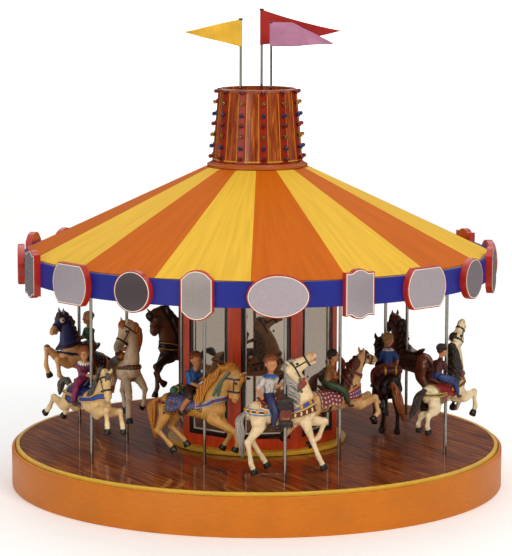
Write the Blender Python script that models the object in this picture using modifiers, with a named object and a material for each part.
"""Display model of a fairground carousel, 500 mm across its base.

The round base drum stands still. Everything above it, from the wooden deck to
the flags, turns together about the centre pin (+Z through the origin).
Angles are measured from the front (-Y), towards +X, in degrees.
"""
import bmesh
import bpy
from math import cos, pi, radians, sin, sqrt
from mathutils import Matrix, Vector

MM = 0.001
GAP = 0.3           # clearance kept between two pieces that touch
ROUND = 80          # sides of a large turned piece

# Driving dimensions, in millimetres
BASE_R = 250.0
BASE_H = 39.0
RECESS_R = 247.0
RECESS_Z = 35.8
PIN_R = 4.0
PIN_TOP = 41.5
DECK_R = 241.7
DECK_TOP = 42.1
TRIM_R = 245.8
STEP_R = 91.0
STEP_H = 4.0
CORE_R = 84.0       # corner radius of the eight-sided core
CORE_TURN = -16.0   # angle of its first corner
PILASTER_W = 7.25
PILASTER_T = 2.4
PLINTH_TOP = 57.4
HEAD_Z = 217.7
CEILING_Z = 231.4
CEILING_R = 232.0
BAND_R = 235.6
BAND_INNER = 232.3
BAND_LOW = 213.2
BAND_TOP = 237.4
CANOPY_R = 234.4
CANOPY_TURN = -1.5
CANOPY_TOP_R = 52.5
CANOPY_TOP = 322.2
GORES = 16
BOARD_Z = 224.6
BOARD_BACK = 234.9
BOARD_T = 7.0
BOARDS = 20
BOARD_TURN = 5.0
# How far single boards were hung out of step, in degrees, by their number from the front
BOARD_SHIFTS = {0: -0.4, 1: 0.2, 2: 0.5, 3: 1.4, 17: 1.4, 18: 2.1, 19: -0.4}
COLLAR_R = 50.7
COLLAR_TOP = 327.5
CUPOLA_LOW_R = 44.3
CUPOLA_TOP_R = 38.0
CUPOLA_TOP = 401.0
RIBS = 12
RIB_TURN = 8.0
RIB_W = 7.5
RIB_PROUD = 1.3
WELL_R = 35.0
WELL_DEPTH = 5.0
POLE_R = 1.6
OUTER_RING = 202.5
INNER_RING = 133.0
OUTER_TURN = 7.5
INNER_TURN = -22.5
FLAG_ROD_R = 1.3
HORSE_FACES = 470
RIDER_FACES = 300
VOXEL = 1.5

ORANGE = (0.62, 0.25, 0.03)
YELLOW = (0.80, 0.50, 0.04)
BLUE = (0.02, 0.03, 0.22)
RED = (0.45, 0.03, 0.015)
WOOD = (0.22, 0.07, 0.03)
STEEL = (0.72, 0.72, 0.72)
GLASS_GREY = (0.35, 0.33, 0.34)
MAUVE = (0.55, 0.25, 0.30)

# Horses: pose, ring, place on the ring, extra turn of the heading, turn of the head, coat
HORSES = {
    "horse_white": ("stand", "outer", 0, 0, 0, (0.80, 0.72, 0.58)),
    "horse_pinto": ("tossed", "outer", 1, -15, 0, (0.78, 0.70, 0.56)),
    "horse_brown": ("turned_away", "outer", 2, 0, 0, (0.16, 0.06, 0.03)),
    "horse_bay": ("gather", "outer", 3, 0, 0, (0.20, 0.08, 0.03)),
    "horse_armoured": ("rear", "outer", 4, -25, 0, (0.45, 0.24, 0.10)),
    "horse_cream": ("plunge", "outer", 5, 0, -40, (0.75, 0.55, 0.28)),
    "horse_palomino": ("gather", "inner", 0, 0, 0, (0.65, 0.36, 0.10)),
    "horse_buff": ("leap", "inner", 1, 0, 0, (0.60, 0.38, 0.20)),
    "horse_black": ("walk", "inner", 2, 0, 0, (0.02, 0.015, 0.012)),
    "horse_chestnut": ("stand", "inner", 3, 0, 0, (0.14, 0.05, 0.02)),
    "horse_dark": ("proud", "inner", 4, 0, 0, (0.03, 0.015, 0.01)),
    "horse_grey": ("proud_high", "inner", 5, 14, -62, (0.38, 0.30, 0.23)),
}

# Riders: horse, colour, size, forward lean, twist, knee and foot (x, z) from the seat,
# and whether the right arm hangs
RIDERS = {
    "rider_sailor": ("horse_white", (0.60, 0.58, 0.55), 1.05, 0, -70, (-11, -9), (-12.5, -20), True),
    "rider_brown": ("horse_pinto", (0.10, 0.02, 0.01), 0.84, 10, 0, (-3, -2), (1.5, -14.5), False),
    "rider_green": ("horse_armoured", (0.02, 0.10, 0.03), 0.9, 0, 0, (-7, -3), (-8, -16.5), False),
    "rider_magenta": ("horse_cream", (0.30, 0.01, 0.10), 0.9, 8, -35, (-9.5, -5), (-11, -15.5), False),
    "rider_blue": ("horse_palomino", (0.02, 0.08, 0.35), 0.97, 8, -35, (-6, -2), (-12, -17.5), False),
    "rider_tan": ("horse_buff", (0.25, 0.10, 0.03), 0.88, 6, -20, (-4, -2), (5, -14), False),
    "rider_collar": ("horse_black", (0.01, 0.06, 0.35), 0.9, 0, -15, (-5, -3), (-3, -15.5), True),
}

# Poses in the horse's own side view: x ahead of the pole, z above the deck, radius.
# Legs start at the shoulder or hip and end at the hoof.
POSES = {
    "stand": {
        "seat": 78,
        "trunk": [(-25, 68, 11.5), (-4, 65, 11.5), (17, 67, 12.5)],
        "neck": [(17, 78, 10.5), (14, 92, 8.5), (9, 103, 6.5)],
        "head": [(6, 108, 6.0), (13, 111, 6.0), (26, 120, 3.6)],
        "fore": [[(18, 60, 6.5), (20, 54, 4.5), (25, 41, 2.9), (31, 25, 2.3), (36, 15, 2.9)],
                 [(20, 58, 6.5), (28, 57, 5), (39, 56, 3.6), (33, 41, 2.4), (25, 34, 3.0)]],
        "hind": [[(-26, 65, 9), (-26, 54, 6), (-36, 40, 3.3), (-33, 20, 2.3), (-30, 12.5, 3.0)],
                 [(-24, 64, 9), (-22, 54, 6), (-31, 40, 3.2), (-20, 22, 2.3), (-16, 15.5, 3.0)]],
        "tail": [(-34, 70, 3.5), (-43, 61, 4.5), (-42, 46, 4.5), (-40, 25, 2.2)],
    },
    "gather": {
        "seat": 70,
        "trunk": [(-36, 58, 11), (-14, 57, 11.5), (9, 55, 13)],
        "neck": [(10, 66, 12), (18, 80, 10), (28, 90, 7.5)],
        "head": [(33, 90, 6.5), (31, 80, 6.5), (32, 67, 4.0)],
        "fore": [[(10, 48, 7), (19, 43, 5), (35, 36, 3.3), (38, 25, 2.4), (36, 19, 3.0)],
                 [(10, 48, 7), (16, 42, 5), (25, 31, 3.3), (20, 22, 2.4), (17, 17, 3.0)]],
        "hind": [[(-38, 54, 9), (-40, 46, 6), (-47, 31, 3.5), (-34, 18.5, 2.5), (-30, 13.5, 3.0)],
                 [(-36, 54, 9), (-34, 45, 6), (-39, 33, 3.3), (-26, 22, 2.4), (-22, 17, 3.0)]],
        "tail": [(-44, 62, 3.5), (-55, 57, 5), (-55, 38, 5.5), (-52, 22, 2.5)],
    },
    "leap": {
        "seat": 74,
        "trunk": [(-32, 62, 11.5), (-10, 61, 11.5), (12, 64, 12.5)],
        "neck": [(14, 74, 10.5), (20, 88, 8.5), (25, 96, 6.5)],
        "head": [(27, 100, 6), (33, 98, 5.8), (44, 96, 3.8)],
        "fore": [[(14, 58, 7), (21, 54, 5), (40, 59, 3.5), (44, 44, 2.4), (38, 38, 3.0)],
                 [(14, 58, 7), (24, 55, 5), (42, 60, 3.5), (53, 53, 2.4), (58, 48, 3.0)]],
        "hind": [[(-34, 60, 9), (-42, 50, 6), (-58, 46, 3.3), (-70, 38, 2.3), (-76, 34, 3.0)],
                 [(-34, 60, 9), (-38, 50, 6), (-50, 44, 3.3), (-60, 36, 2.3), (-64, 32, 3.0)]],
        "tail": [(-42, 67, 3.5), (-51, 66, 4.5), (-59, 58, 4.5), (-65, 52, 2.2)],
    },
    "tossed": {
        "seat": 77,
        "trunk": [(-26, 64, 11.5), (-4, 64, 11.5), (17, 68, 12.5)],
        "neck": [(18, 78, 10.5), (19, 94, 8.5), (17, 106, 6.5)],
        "head": [(17, 111, 6), (22, 116, 5.8), (28, 129, 3.6)],
        "fore": [[(19, 60, 6.5), (24, 55, 5), (42, 58, 3.5), (44, 43, 2.4), (40, 37, 3.0)],
                 [(19, 60, 6.5), (24, 54, 5), (38, 50, 3.3), (30, 42, 2.6), (25, 43, 3.0)]],
        "hind": [[(-28, 62, 9), (-30, 51, 7), (-41, 46, 3.5), (-43, 36, 2.7), (-41, 31, 3.0)],
                 [(-28, 62, 9), (-24, 49, 7), (-34, 43, 3.5), (-38, 36, 2.7), (-36, 31, 3.0)]],
        "tail": [(-36, 71, 4), (-46, 66, 5.5), (-50, 54, 5.5), (-56, 44, 3)],
    },
    "plunge": {
        "seat": 77,
        "trunk": [(-28, 66, 11.5), (-6, 63, 12), (16, 61, 13)],
        "neck": [(18, 70, 11), (22, 82, 9), (24, 90, 7)],
        "head": [(26, 92, 6.5), (29, 84, 6), (33, 71, 3.8)],
        "fore": [[(17, 54, 7), (24, 56, 5), (35, 59, 3.5), (37, 46, 2.5), (38, 39, 3.0)],
                 [(17, 54, 7), (24, 54, 5), (39, 57, 3.5), (43, 45, 2.5), (44, 38, 3.0)]],
        "hind": [[(-30, 62, 9), (-40, 53, 6), (-57, 58, 3.5), (-65, 47, 2.4), (-71, 41, 3.0)],
                 [(-30, 62, 9), (-38, 51, 6), (-50, 50, 3.5), (-56, 43, 2.4), (-60, 38, 3.0)]],
        "tail": [(-38, 72, 4), (-47, 77, 5), (-54, 70, 4.5), (-57, 60, 2.5)],
    },
    "rear": {
        "seat": 79,
        "trunk": [(-26, 60, 11.5), (-6, 66, 12), (12, 74, 13)],
        "neck": [(14, 86, 11), (16, 100, 9), (18, 110, 7)],
        "head": [(20, 116, 6.5), (26, 110, 6.2), (35, 101, 4)],
        "fore": [[(14, 70, 7), (22, 70, 5), (38, 84, 3.5), (39, 66, 2.5), (35, 55, 3.0)],
                 [(14, 70, 7), (20, 66, 5), (34, 72, 3.5), (32, 56, 2.5), (27, 50, 3.0)]],
        "hind": [[(-28, 58, 9), (-26, 48, 6), (-37, 34, 3.4), (-31, 20, 2.5), (-27, 13, 3.0)],
                 [(-26, 57, 9), (-22, 47, 6), (-31, 33, 3.4), (-21, 21, 2.5), (-17, 15, 3.0)]],
        "tail": [(-36, 66, 4), (-45, 58, 5), (-45, 42, 5), (-42, 26, 2.5)],
    },
    "walk": {
        "seat": 70,
        "trunk": [(-28, 58, 12), (-8, 56, 12), (14, 58, 12.5)],
        "neck": [(16, 68, 11), (22, 82, 9), (28, 90, 7)],
        "head": [(32, 92, 6.3), (37, 86, 6), (44, 76, 3.8)],
        "fore": [[(15, 52, 7), (20, 46, 5), (30, 40, 3.4), (30, 24, 2.4), (32, 17, 3.0)],
                 [(15, 52, 7), (18, 44, 5), (22, 32, 3.3), (18, 18, 2.4), (20, 11, 3.0)]],
        "hind": [[(-30, 54, 9.5), (-28, 44, 6), (-37, 31, 3.4), (-34, 17, 2.5), (-31, 10.5, 3.0)],
                 [(-28, 54, 9.5), (-24, 44, 6), (-33, 31, 3.4), (-26, 17, 2.5), (-23, 10.5, 3.0)]],
        "tail": [(-38, 62, 4), (-46, 54, 5), (-46, 38, 5.5), (-43, 22, 2.5)],
    },
    "turned_away": {
        "seat": 72,
        "trunk": [(-27, 60, 11.5), (-6, 59, 12), (15, 62, 12.5)],
        "neck": [(15, 72, 11), (15, 86, 9), (15, 96, 7)],
        "head": [(17, 102, 6.3), (23, 98, 6), (33, 90, 3.9)],
        "fore": [[(16, 55, 7), (22, 49, 5), (34, 47, 3.4), (35, 32, 2.4), (31, 26, 3.0)],
                 [(16, 55, 7), (19, 47, 5), (25, 35, 3.3), (24, 21, 2.4), (27, 14, 3.0)]],
        "hind": [[(-28, 56, 9.5), (-26, 46, 6), (-37, 36, 3.4), (-27, 23, 2.5), (-23, 16.5, 3.0)],
                 [(-28, 56, 9.5), (-30, 46, 6), (-42, 34, 3.4), (-38, 19, 2.5), (-36, 12.5, 3.0)]],
        "tail": [(-36, 65, 4), (-45, 58, 5), (-47, 44, 5), (-46, 28, 2.5)],
    },
    "proud": {
        "seat": 86,
        "trunk": [(-27, 73, 11.5), (-6, 72, 12), (14, 76, 13)],
        "neck": [(16, 88, 11.5), (21, 102, 9.5), (27, 112, 7.5)],
        "head": [(31, 115, 6.6), (33, 107, 6.3), (34, 96, 4.2)],
        "fore": [[(16, 69, 7), (21, 62, 5), (27, 50, 3.5), (26, 35, 2.6), (29, 27, 3.2)],
                 [(16, 69, 7), (25, 66, 5), (37, 60, 3.5), (33, 46, 2.5), (28, 41, 3.0)]],
        "hind": [[(-28, 69, 9.5), (-30, 59, 6), (-42, 51, 3.4), (-44, 36, 2.5), (-42, 29, 3.0)],
                 [(-28, 69, 9.5), (-25, 58, 6), (-35, 46, 3.4), (-29, 33, 2.5), (-25, 27, 3.0)]],
        "tail": [(-36, 78, 4), (-45, 72, 5), (-48, 58, 5), (-46, 42, 2.5)],
    },
    "proud_high": {
        "seat": 86,
        "trunk": [(-27, 73, 11.5), (-6, 72, 12), (14, 76, 13)],
        "neck": [(16, 88, 11.5), (20, 104, 9.5), (25, 117, 7.5)],
        "head": [(28, 124, 6.8), (31, 115, 6.6), (33, 101, 4.4)],
        "fore": [[(16, 69, 7), (21, 62, 5), (27, 50, 3.5), (26, 35, 2.6), (29, 27, 3.2)],
                 [(16, 69, 7), (25, 66, 5), (37, 60, 3.5), (33, 46, 2.5), (28, 41, 3.0)]],
        "hind": [[(-28, 69, 9.5), (-30, 59, 6), (-42, 51, 3.4), (-44, 36, 2.5), (-42, 29, 3.0)],
                 [(-28, 69, 9.5), (-25, 58, 6), (-35, 46, 3.4), (-29, 33, 2.5), (-25, 27, 3.0)]],
        "tail": [(-36, 78, 4), (-45, 72, 5), (-48, 58, 5), (-46, 42, 2.5)],
    },
}

HIP_OFFSET = 6.2
STOUT = (0.0, 0.3, 0.3, 0.3, 0.4)    # added to the radii from a leg's top to its hoof
SHOULDER_OFFSET = 6.0


def clear_scene():
    """Remove every object of the scene."""
    for obj in list(bpy.data.objects):
        bpy.data.objects.remove(obj, do_unlink=True)


def collection(name):
    """Make a collection and link it to the scene."""
    col = bpy.data.collections.new(name)
    bpy.context.scene.collection.children.link(col)
    return col


def material(name, colour, roughness=0.4, metallic=0.0):
    """A Principled material with one colour."""
    mat = bpy.data.materials.new(name)
    mat.use_nodes = True
    shader = mat.node_tree.nodes["Principled BSDF"]
    shader.inputs["Base Color"].default_value = (*colour, 1.0)
    shader.inputs["Roughness"].default_value = roughness
    shader.inputs["Metallic"].default_value = metallic
    mat.diffuse_color = (*colour, 1.0)
    return mat


def polar(radius, angle, z=0.0):
    """A point in metres from its radius, angle from the front and height in mm."""
    turn = radians(angle)
    return Vector((radius * sin(turn), -radius * cos(turn), z)) * MM


def add_object(name, mesh, col, mat=None):
    """Link a mesh as a named object with its material."""
    obj = bpy.data.objects.new(name, mesh)
    col.objects.link(obj)
    if mat:
        obj.data.materials.append(mat)
    return obj


def mesh_from(bm, name):
    """Turn a bmesh into a mesh with its faces pointing out."""
    bmesh.ops.recalc_face_normals(bm, faces=bm.faces)
    mesh = bpy.data.meshes.new(name)
    bm.to_mesh(mesh)
    bm.free()
    return mesh


def turned(name, profile, col, mat, closed=False, sides=ROUND):
    """A turned piece: (radius, z) points down its outer side, spun about the axis."""
    mesh = bpy.data.meshes.new(name)
    count = len(profile)
    edges = [(i, i + 1) for i in range(count - 1)]
    if closed:
        edges.append((count - 1, 0))
    mesh.from_pydata([(r * MM, 0.0, z * MM) for r, z in profile], edges, [])
    obj = add_object(name, mesh, col, mat)
    screw = obj.modifiers.new("Turn", "SCREW")
    screw.steps = sides
    screw.render_steps = sides
    screw.use_merge_vertices = True
    screw.merge_threshold = 0.00001
    return obj


def prism(sides, radius, low, high, turn, top_radius=None):
    """A bmesh prism or frustum with a corner at the angle turn."""
    bm = bmesh.new()
    bmesh.ops.create_cone(bm, cap_ends=True, segments=sides, radius1=radius * MM,
                          radius2=(radius if top_radius is None else top_radius) * MM,
                          depth=(high - low) * MM)
    lift = Matrix.Translation((0.0, 0.0, (low + high) / 2 * MM))
    corner = Vector(max((v.co for v in bm.verts), key=lambda co: (round(co.x, 6), co.y)))
    first = Vector((corner.x, corner.y)).angle_signed(Vector((0.0, -1.0)))
    spin = Matrix.Rotation(first + radians(turn), 4, "Z")
    bmesh.ops.transform(bm, matrix=lift @ spin, verts=bm.verts)
    return bm


def box(size, matrix):
    """A bmesh box of a size in millimetres under a matrix in metres."""
    bm = bmesh.new()
    bmesh.ops.create_cube(bm, size=1.0)
    bmesh.ops.scale(bm, vec=Vector(size) * MM, verts=bm.verts)
    bmesh.ops.transform(bm, matrix=matrix, verts=bm.verts)
    return bm


def merged(meshes):
    """One bmesh that holds several, each still a body of its own."""
    out = bmesh.new()
    for bm in meshes:
        part = bpy.data.meshes.new("part")
        bm.to_mesh(part)
        bm.free()
        out.from_mesh(part)
        bpy.data.meshes.remove(part)
    return out


def boolean(obj, tool, operation):
    """Cut or join a mesh object with a tool object."""
    mod = obj.modifiers.new(operation.title(), "BOOLEAN")
    mod.operation = operation
    mod.solver = "EXACT"
    mod.object = tool


def cutter(name, bm, cutters):
    """A hidden tool object for a Boolean."""
    obj = add_object(name, mesh_from(bm, name), cutters)
    obj.hide_render = True
    obj.display_type = "WIRE"
    return obj


def facing(angle):
    """Turn a piece whose front looks along -Y so that it looks outwards at an angle."""
    return Matrix.Rotation(radians(angle), 4, "Z")


def base_drum(col, mats):
    """The standing drum: rim, shallow recess for the deck, and the centre pin."""
    profile = [(0, PIN_TOP), (PIN_R, PIN_TOP), (PIN_R, RECESS_Z), (RECESS_R, RECESS_Z),
               (RECESS_R, BASE_H), (BASE_R, BASE_H), (BASE_R, 0), (0, 0)]
    return turned("base_drum", profile, col, mats["orange"])


def deck(col, mats):
    """The wooden deck disc with its hole for the pin."""
    low = RECESS_Z + GAP
    hole = PIN_R + 0.5
    profile = [(hole, DECK_TOP), (DECK_R, DECK_TOP), (DECK_R, low), (hole, low)]
    return turned("deck", profile, col, mats["wood"], closed=True)


def deck_trim(col, mats):
    """The yellow hoop round the edge of the deck."""
    inner = DECK_R + GAP
    low = RECESS_Z + GAP
    profile = [(inner, DECK_TOP), (TRIM_R, DECK_TOP), (TRIM_R, low), (inner, low)]
    return turned("deck_trim", profile, col, mats["yellow"], closed=True)


def core(col, cutters, mats):
    """The ring on the deck, the eight-sided core frame and its mirrored drum."""
    step_low = DECK_TOP + GAP
    step_top = step_low + STEP_H
    turned("core_step", [(0, step_top), (STEP_R, step_top), (STEP_R, step_low), (0, step_low)],
           col, mats["yellow"])
    frame_low = step_top + GAP
    frame = add_object("core_frame", mesh_from(
        prism(8, CORE_R, frame_low, CEILING_Z - GAP, CORE_TURN), "core_frame"), col, mats["red"])
    slope = cos(radians(22.5))
    inner_r = (CORE_R * slope - PILASTER_T) / slope
    side = 2 * CORE_R * sin(radians(22.5))
    window = (side - 2 * PILASTER_W, 20.0, HEAD_Z - PLINTH_TOP)
    middle = (HEAD_Z + PLINTH_TOP) / 2
    hollow = prism(8, inner_r, PLINTH_TOP, HEAD_Z, CORE_TURN)
    boolean(frame, cutter("core_hollow", hollow, cutters), "DIFFERENCE")
    windows = []
    for k in range(8):
        angle = CORE_TURN + 22.5 + 45 * k
        place = Matrix.Translation(polar(CORE_R * slope, angle, middle)) @ facing(angle)
        windows.append(box(window, place))
    boolean(frame, cutter("core_windows", merged(windows), cutters), "DIFFERENCE")
    add_object("core_mirrors", mesh_from(
        prism(8, inner_r - GAP / slope, PLINTH_TOP + GAP, HEAD_Z - GAP, CORE_TURN),
        "core_mirrors"), col, mats["mirror"])


def ellipse_quarter(half_width, half_height, steps):
    """Points of a quarter ellipse from its right end to its top."""
    turns = [pi / 2 * i / steps for i in range(steps + 1)]
    return [(half_width * cos(t), half_height * sin(t)) for t in turns]


def board_outline(kind):
    """Outline (x, z) in mm of one of the five mirror boards on the band.

    Each is a quarter, from its right end to its top, mirrored twice.
    """
    if kind == "ellipse":
        quarter = ellipse_quarter(29.2, 20.2, 6)
    elif kind == "circle":
        quarter = ellipse_quarter(19.8, 19.8, 5)
    elif kind == "barrel":
        flat = 19.6
        quarter = [p for p in ellipse_quarter(26.0, 26.0, 10) if p[1] < flat - 1.0]
        quarter += [(sqrt(26.0 ** 2 - flat ** 2), flat), (0.0, flat)]
    elif kind == "bracket":
        quarter = [(15.0, 0.0), (15.0, 19.5), (11.0, 20.0), (8.0, 21.6), (4.0, 22.2), (0.0, 23.5)]
    else:
        quarter = [(15.5, 0.0), (15.5, 14.5), (13.0, 19.0), (8.0, 22.2), (0.0, 23.4)]
    half = quarter + [(-x, z) for x, z in reversed(quarter[1:-1])]
    return half + [(-x, -z) for x, z in half]


def flat_outline(points, thickness):
    """A bmesh plate from an outline in its XZ plane, its back at y = 0."""
    bm = bmesh.new()
    ring = [bm.verts.new((x * MM, 0.0, z * MM)) for x, z in points]
    face = bm.faces.new(ring)
    grown = bmesh.ops.extrude_face_region(bm, geom=[face])
    front = [v for v in grown["geom"] if isinstance(v, bmesh.types.BMVert)]
    bmesh.ops.translate(bm, vec=(0.0, -thickness * MM, 0.0), verts=front)
    bmesh.ops.recalc_face_normals(bm, faces=bm.faces)
    return bm


def valance(col, cutters, mats):
    """The blue band under the canopy with its twenty mirror boards."""
    profile = [(BAND_INNER, BAND_TOP), (BAND_R, BAND_TOP), (BAND_R, BAND_LOW),
               (BAND_INNER, BAND_LOW)]
    band = turned("valance_boards", profile, col, mats["blue"], closed=True)
    kinds = ("ellipse", "bracket", "barrel", "circle", "arched")
    plates = []
    for k in range(BOARDS):
        angle = BOARD_TURN + 360 / BOARDS * k + BOARD_SHIFTS.get(k, 0.0)
        plate = flat_outline(board_outline(kinds[k % len(kinds)]), BOARD_T)
        place = Matrix.Translation(polar(BOARD_BACK, angle, BOARD_Z)) @ facing(angle)
        bmesh.ops.transform(plate, matrix=place, verts=plate.verts)
        plates.append(plate)
    boolean(band, cutter("mirror_boards", merged(plates), cutters), "UNION")


def roof(col, mats):
    """The ceiling disc that carries the poles, and the sixteen-sided canopy."""
    turned("ceiling", [(0, BAND_TOP), (CEILING_R, BAND_TOP), (CEILING_R, CEILING_Z),
                       (0, CEILING_Z)], col, mats["wood"])
    bm = prism(GORES, CANOPY_R, BAND_TOP + GAP, CANOPY_TOP, CANOPY_TURN, CANOPY_TOP_R)
    add_object("canopy", mesh_from(bm, "canopy"), col, mats["yellow"])


def cupola(col, cutters, mats):
    """The collar on the canopy and the ribbed, tapered drum with its open well."""
    low = CANOPY_TOP + GAP
    turned("cupola_collar", [(0, COLLAR_TOP), (COLLAR_R, COLLAR_TOP), (COLLAR_R, low), (0, low)],
           col, mats["orange"], sides=48)
    foot = COLLAR_TOP + GAP
    floor = CUPOLA_TOP - WELL_DEPTH
    profile = [(0, floor), (WELL_R, floor), (WELL_R, CUPOLA_TOP), (CUPOLA_TOP_R, CUPOLA_TOP),
               (CUPOLA_LOW_R, foot), (0, foot)]
    drum = turned("cupola", profile, col, mats["orange"], sides=48)
    height = CUPOLA_TOP - foot
    lean = (CUPOLA_LOW_R - CUPOLA_TOP_R) / height
    ribs = []
    for k in range(RIBS):
        bm = box((RIB_W, 2 * RIB_PROUD, height - 1.0), Matrix.Identity(4))
        for v in bm.verts:
            v.co.y += lean * v.co.z
        middle = (CUPOLA_LOW_R + CUPOLA_TOP_R) / 2
        angle = RIB_TURN + 360 / RIBS * k
        place = Matrix.Translation(polar(middle, angle, (foot + CUPOLA_TOP) / 2)) @ facing(angle)
        bmesh.ops.transform(bm, matrix=place, verts=bm.verts)
        ribs.append(bm)
    boolean(drum, cutter("cupola_ribs", merged(ribs), cutters), "UNION")


def flags(col, mats):
    """Three rods in the cupola's well, each with a triangular pennant."""
    floor = CUPOLA_TOP - WELL_DEPTH + GAP
    rows = (("yellow", -17.0, -9.0, 471.0, 26.0, -56.0), ("red", 4.0, 14.0, 480.0, 34.0, 79.0),
            ("mauve", 13.5, -9.0, 468.0, 25.0, 62.0))
    for colour, x, y, top, hoist, fly in rows:
        bm = prism(12, FLAG_ROD_R, floor, top, 0.0)
        rod = add_object("flag_rod_" + colour, mesh_from(bm, "rod"), col, mats["steel"])
        rod.location = (x * MM, y * MM, 0.0)
        side = 1.0 if fly > 0 else -1.0
        start = side * (FLAG_ROD_R + GAP)
        high = top - 1.5
        points = [(start, high), (start, high - hoist), (fly, high - hoist / 2)]
        flag = flat_outline(points, 1.0)
        bmesh.ops.translate(flag, vec=(0.0, 0.5 * MM, 0.0), verts=flag.verts)
        pennant = add_object("pennant_" + colour, mesh_from(flag, "pennant"), col,
                             mats["flag_" + colour])
        pennant.location = (x * MM, y * MM, 0.0)


def pole_place(ring, index):
    """Radius and angle of one pole."""
    if ring == "outer":
        return OUTER_RING, OUTER_TURN + 60 * index
    return INNER_RING, INNER_TURN + 60 * index


def poles(col, mats):
    """Twelve rods from the deck to the ceiling."""
    for ring in ("outer", "inner"):
        for index in range(6):
            radius, angle = pole_place(ring, index)
            bm = prism(12, POLE_R, DECK_TOP + GAP, CEILING_Z - GAP, 0.0)
            pole = add_object(f"pole_{ring}_{index + 1}", mesh_from(bm, "pole"), col,
                              mats["steel"])
            pole.location = polar(radius, angle)


def limb(points):
    """Balls and tapered links along points (x, y, z, radius), in millimetres."""
    shapes = []
    for x, y, z, radius in points:
        bm = bmesh.new()
        bmesh.ops.create_uvsphere(bm, u_segments=14, v_segments=8, radius=radius * MM)
        bmesh.ops.translate(bm, vec=Vector((x, y, z)) * MM, verts=bm.verts)
        shapes.append(bm)
    for first, second in zip(points, points[1:]):
        a = Vector(first[:3]) * MM
        b = Vector(second[:3]) * MM
        bm = bmesh.new()
        bmesh.ops.create_cone(bm, cap_ends=True, segments=14, radius1=first[3] * MM,
                              radius2=second[3] * MM, depth=(b - a).length)
        turn = (b - a).to_track_quat("Z", "Y").to_matrix().to_4x4()
        place = Matrix.Translation((a + b) / 2) @ turn
        bmesh.ops.transform(bm, matrix=place, verts=bm.verts)
        shapes.append(bm)
    return shapes


def side_view(points, y_start=0.0, y_end=0.0):
    """Side-view points (x, z, radius) with y running from y_start to y_end."""
    last = max(len(points) - 1, 1)
    return [(x, y_start + (y_end - y_start) * i / last, z, r)
            for i, (x, z, r) in enumerate(points)]


def bent(points, pose, yaw, whole):
    """Points turned to one side about the upright line through the middle of the neck.

    The turn grows as 3 q q - 2 q q q from the neck's foot to the poll; the head takes it whole.
    """
    foot = Vector((pose["neck"][0][0], 0, pose["neck"][0][1]))
    way = Vector((pose["head"][0][0], 0, pose["head"][0][1])) - foot
    pivot = Vector((pose["neck"][1][0], 0, 0))
    turned_points = []
    for x, y, z, radius in points:
        place = Vector((x, y, z))
        share = min(max((place - foot).dot(way) / way.length_squared, 0.0), 1.0)
        turn = yaw if whole else yaw * share * share * (3 - 2 * share)
        place = pivot + Matrix.Rotation(radians(turn), 3, "Z") @ (place - pivot)
        turned_points.append((*place, radius))
    return turned_points


def horse_shapes(pose, yaw):
    """The balls and links of a whole horse."""
    shapes = limb(side_view(pose["trunk"]))
    neck = bent(side_view(pose["neck"]), pose, yaw, False)
    head = bent(side_view(pose["head"]), pose, yaw, True)
    shapes += limb(side_view([pose["trunk"][-1]]) + neck)
    shapes += limb([neck[-1]] + head)
    for name, offset in (("fore", SHOULDER_OFFSET), ("hind", HIP_OFFSET)):
        for side, leg in zip((-1, 1), pose[name]):
            stout = [(x, z, r + STOUT[i]) for i, (x, z, r) in enumerate(leg)]
            shapes += limb(side_view(stout, side * offset, side * (offset + 1)))
    shapes += limb(side_view(pose["tail"]))
    poll_x, poll_z, poll_r = pose["head"][0]
    for side in (-1, 1):
        ear = [(poll_x - 1, side * 3.4, poll_z + poll_r - 2, 1.7),
               (poll_x - 1, side * 4.2, poll_z + poll_r + 3.4, 1.0)]
        shapes += limb(bent(ear, pose, yaw, True))
    return shapes


def rider_shapes(seat, size, lean, twist, knee, foot, hangs):
    """The balls and links of a seated rider behind the pole."""
    hip = Vector((-15.4, 0, seat + 4.5))
    turn = Matrix.Rotation(radians(lean), 3, "Y") @ Matrix.Rotation(radians(twist), 3, "Z")

    def upper(x, y, z, radius):
        """A point of the upper body, scaled and turned about the hip."""
        return (*(hip + turn @ (Vector((x, y, seat + z)) - hip) * size), radius * size)

    shapes = limb([upper(-15.4, 0, 5, 6.2), upper(-14, 0, 12, 5.6), upper(-13, 0, 20, 6.0),
                   upper(-12, 0, 27, 3.2), upper(-11.5, 0, 34.3, 7.0)])
    knee_x, knee_z = knee
    foot_x, foot_z = foot
    for side in (-1, 1):
        shapes += limb([(-15, side * 4, seat + 4, 5.2 * size),
                        ((knee_x - 15) / 2, side * 9.6, seat + knee_z / 2 + 2.8, 4.6 * size),
                        (knee_x, side * 13, seat + knee_z, 4.2 * size),
                        (foot_x, side * 14, seat + foot_z, 3.0 * size),
                        (foot_x + 4, side * 14, seat + foot_z - 2.4, 2.8 * size)])
        shoulder = upper(-13.2, side * 6.2, 20, 3.4)
        if hangs and side < 0:
            elbow = upper(-13.4, side * 9.4, 12.5, 2.8)
            hand = upper(-11.8, side * 9.8, 5.0, 2.5)
        else:
            hand = (-3.6, side * 3.4, seat + (14.5 if side > 0 else 11.5) * size, 2.5)
            middle = (Vector(shoulder[:3]) + Vector(hand[:3])) / 2
            elbow = (middle.x - 0.6, middle.y + side * 2.0, middle.z - 4.0 * size, 2.8)
        shapes += limb([shoulder, elbow, hand])
    return shapes


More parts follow.
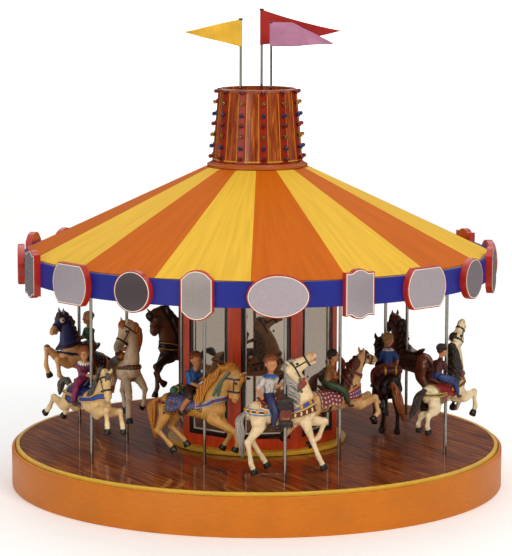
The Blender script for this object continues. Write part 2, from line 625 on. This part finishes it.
def melted(name, shapes, faces):
    """Melt overlapping shapes into one skin and thin it to about a number of triangles."""
    whole = merged(shapes)
    mesh = mesh_from(whole, name)
    temp = bpy.data.objects.new(name + "_skin", mesh)
    bpy.context.scene.collection.objects.link(temp)
    remesh = temp.modifiers.new("Melt", "REMESH")
    remesh.mode = "VOXEL"
    remesh.voxel_size = VOXEL * MM
    relax = temp.modifiers.new("Relax", "SMOOTH")
    relax.iterations = 3
    skin = bpy.data.meshes.new_from_object(
        temp.evaluated_get(bpy.context.evaluated_depsgraph_get()))
    temp.modifiers.clear()
    temp.data = skin
    thin = temp.modifiers.new("Thin", "DECIMATE")
    thin.ratio = faces / (2 * len(skin.polygons))
    bpy.context.view_layer.update()
    result = bpy.data.meshes.new_from_object(
        temp.evaluated_get(bpy.context.evaluated_depsgraph_get()))
    bpy.data.objects.remove(temp)
    return result


def heading(ring, index, turn):
    """Matrix that sets a horse on its pole, heading the way the carousel turns."""
    radius, angle = pole_place(ring, index)
    place = Matrix.Translation(polar(radius, angle, DECK_TOP))
    return place @ Matrix.Rotation(radians(angle + turn), 4, "Z")


def figures(col, cutters):
    """The twelve horses and seven riders, each bored for its pole."""
    bore = prism(12, POLE_R + GAP, -5.0, 220.0, 0.0)
    bore_tool = cutter("pole_bore", bore, cutters)
    made = {}
    for name, (pose, ring, index, turn, yaw, coat) in HORSES.items():
        mesh = melted(name, horse_shapes(POSES[pose], yaw), HORSE_FACES)
        horse = add_object(name, mesh, col, material(name, coat))
        boolean(horse, bore_tool, "DIFFERENCE")
        made[name] = (horse, pose, heading(ring, index, turn))
    for name, (mount, cloth, *stance) in RIDERS.items():
        horse, pose, place = made[mount]
        mesh = melted(name, rider_shapes(POSES[pose]["seat"], *stance), RIDER_FACES)
        rider = add_object(name, mesh, col, material(name, cloth))
        swell = add_object(mount + "_swell", horse.data.copy(), cutters)
        swell.hide_render = True
        swell.display_type = "WIRE"
        grow = swell.modifiers.new("Grow", "DISPLACE")
        grow.strength = 2 * GAP * MM
        grow.mid_level = 0.0
        boolean(rider, swell, "DIFFERENCE")
        boolean(rider, bore_tool, "DIFFERENCE")
        set_place(rider, place)
    for horse, pose, place in made.values():
        set_place(horse, place)


def set_place(obj, place):
    """Fix a piece's modifiers while it stands at the origin, then set it on its pole."""
    bpy.context.view_layer.update()
    mesh = bpy.data.meshes.new_from_object(
        obj.evaluated_get(bpy.context.evaluated_depsgraph_get()))
    obj.modifiers.clear()
    obj.data = mesh
    obj.matrix_world = place


def main():
    """Build the carousel."""
    clear_scene()
    col = collection("fairground_carousel")
    cutters = collection("cutters")
    mats = {
        "orange": material("orange_paint", ORANGE),
        "yellow": material("yellow_paint", YELLOW),
        "blue": material("blue_paint", BLUE),
        "red": material("red_paint", RED),
        "wood": material("dark_wood", WOOD, 0.25),
        "mirror": material("mirror_glass", GLASS_GREY, 0.05, 1.0),
        "steel": material("bright_steel", STEEL, 0.1, 1.0),
        "flag_yellow": material("yellow_cloth", YELLOW, 0.8),
        "flag_red": material("red_cloth", RED, 0.8),
        "flag_mauve": material("mauve_cloth", MAUVE, 0.8),
    }
    base_drum(col, mats)
    deck(col, mats)
    deck_trim(col, mats)
    core(col, cutters, mats)
    valance(col, cutters, mats)
    roof(col, mats)
    cupola(col, cutters, mats)
    flags(col, mats)
    poles(col, mats)
    figures(col, cutters)


main()
